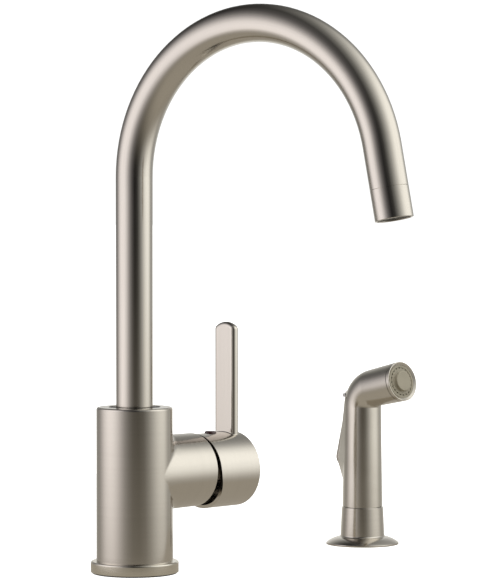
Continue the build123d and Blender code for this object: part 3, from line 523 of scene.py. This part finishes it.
# Where the tent's light changes, by the upward or backward share of the way from its middle, from -1 to 1
lights_start = (-0.75, -0.15)   # upwards, the three lights come in
table_end = (-0.8, 0.15)        # upwards, the table goes out
right_fade = (0.2, 0.65)        # backwards, the light on the right weakens
right_loss = 0.4                # by this share


def way_to(bearing, height):
    """The unit vector to a bearing from +X towards +Y and a height above the horizon, both in degrees."""
    bearing = math.radians(bearing)
    height = math.radians(height)
    return (math.cos(bearing) * math.cos(height), math.sin(bearing) * math.cos(height), math.sin(height))


def tent_light(sheet, way, light):
    """The brightness that one light gives the tent, for the ways from the tent's middle."""
    (bearing, height), stops = light
    middle = way_to(camera_heading + 180.0 + bearing, height)
    along = sheet.vector_maths("DOT_PRODUCT", {0: way, 1: middle}, output=1)
    ramp = [(degrees / 180.0, grey(brightness / brightest)) for degrees, brightness in stops]
    half_turns = along.arc_cosine() / math.pi
    return sheet.node("ShaderNodeValToRGB", {"stops": ramp}, {0: half_turns}) * brightest


def tent_glow(sheet):
    """The studio's light: a soft light at each side, a backdrop and a pale table below."""
    way = sheet.vector_maths("NORMALIZE", {0: sheet.place()})
    x, y, up = sheet.numbers(way)
    heading = math.radians(camera_heading)
    back = x * math.cos(heading) + y * math.sin(heading)
    above_table = up.rise(*lights_start)
    right = tent_light(sheet, way, right_light) * (1.0 - right_loss * back.rise(*right_fade))
    warm = (right + tent_light(sheet, way, backdrop)) * above_table
    cool = tent_light(sheet, way, left_light) * above_table
    table = 1.0 - up.rise(*table_end)
    glow = (0.0, 0.0, 0.0)
    for tint, strength in ((warm_white, warm), (cool_white, cool), (table_colour, table)):
        layer = sheet.vector_maths("SCALE", {0: tint, "Scale": strength})
        glow = sheet.vector_maths("ADD", {0: glow, 1: layer})
    return sheet.node("ShaderNodeEmission", inputs={"Color": glow})


def clear_from_below(sheet, shader):
    """The shader on the upper side, and nothing on the underside, where the mountings are seen and lit."""
    underside = sheet.node("ShaderNodeNewGeometry", output="Backfacing")
    clear = sheet.node("ShaderNodeBsdfTransparent")
    return sheet.node("ShaderNodeMixShader", inputs={0: underside, 1: shader, 2: clear})


def studio_piece(name, points, faces):
    """A piece of the studio that stands about the tent's middle.  The camera doesn't see it."""
    mesh = bpy.data.meshes.new(name)
    mesh.from_pydata(points, [], faces)
    piece = add_object(name, mesh)
    piece.location = tent_middle
    piece.visible_camera = False
    piece.visible_shadow = False
    made = bpy.data.materials.new(name)
    mesh.materials.append(made)
    return piece, Sheet(made)


def light_tent():
    """A round tent of light about the model."""
    points = []
    for ring in range(tent_rings, -1, -1):
        for side in range(tent_sides):
            way = way_to(360.0 * side / tent_sides, 180.0 * (ring / tent_rings - 0.5))
            points.append(tent_radius * Vector(way))
    _, sheet = studio_piece("light_tent", points, faces_between(tent_rings + 1, tent_sides, closed=False))
    sheet.show(tent_glow(sheet))


def mirrored_deck():
    """What the metal mirrors of the deck near the model, where it would mirror the mountings."""
    outline = []
    for middle, first in ((0.0, 90.0), (spray_x, -90.0)):
        for step in range(deck_sides + 1):
            reach = deck_reach * Vector(way_to(first + 180.0 * step / deck_sides, 0.0))
            outline.append(Vector((middle, 0.0, -deck_drop)) + reach - Vector(tent_middle))
    deck, sheet = studio_piece("mirrored_deck", outline, [tuple(range(len(outline)))])
    deck.visible_diffuse = False
    sheet.show(clear_from_below(sheet, tent_glow(sheet)))


def white_surroundings():
    """Plain white wherever the camera looks past the model."""
    world = bpy.data.worlds.new("white_surroundings")
    bpy.context.scene.world = world
    sheet = Sheet(world)
    seen = sheet.node("ShaderNodeBackground", inputs={"Color": white, "Strength": surroundings_glow})
    sheet.node("ShaderNodeOutputWorld", inputs={"Surface": seen})


def pale_floor():
    """The deck's plane, plain white from above."""
    corners = [(floor_reach * x, floor_reach * y, 0.0) for x, y in ((-1, -1), (1, -1), (1, 1), (-1, 1))]
    mesh = bpy.data.meshes.new("pale_floor")
    mesh.from_pydata(corners, [], [(0, 1, 2, 3)])
    floor = add_object("pale_floor", mesh)
    made = bpy.data.materials.new("pale_floor")
    sheet = Sheet(made)
    chalk = sheet.node("ShaderNodeBsdfDiffuse", inputs={"Color": grey(floor_shade)})
    glow = sheet.node("ShaderNodeEmission", inputs={"Color": white, "Strength": floor_glow})
    both = sheet.node("ShaderNodeAddShader", inputs={0: chalk, 1: glow})
    sheet.show(clear_from_below(sheet, both))
    mesh.materials.append(made)
    floor.visible_glossy = False
    floor.visible_diffuse = False
    floor.visible_shadow = False


def turn_towards(thing, way):
    """Turn a lamp or camera so that it looks along a vector."""
    thing.rotation_euler = way.to_track_quat("-Z", "Y").to_euler()


def overhead_light():
    """A large soft light above, which the metal doesn't mirror."""
    data = bpy.data.lights.new("overhead", "AREA")
    data.shape = "SQUARE"
    data.size = lamp_size
    data.energy = lamp_power
    light = add_object("overhead", data)
    light.location = lamp_place
    turn_towards(light, Vector(lamp_aim) - Vector(lamp_place))
    light.visible_glossy = False
    light.visible_camera = False


def photo_camera():
    """The camera of the photograph: a long lens, a little above the side spray, looking slightly down."""
    data = bpy.data.cameras.new("photo_camera")
    data.sensor_width = sensor_size
    data.lens = focal_pixels / photo_height * sensor_size
    data.clip_start = 0.1
    data.clip_end = 50.0
    camera = add_object("photo_camera", data)
    camera.location = camera_place
    turn_towards(camera, Vector(way_to(camera_heading, camera_pitch)))
    bpy.context.scene.camera = camera


light_tent()
mirrored_deck()
white_surroundings()
pale_floor()
overhead_light()
photo_camera()
bpy.context.scene.view_settings.view_transform = "Standard"
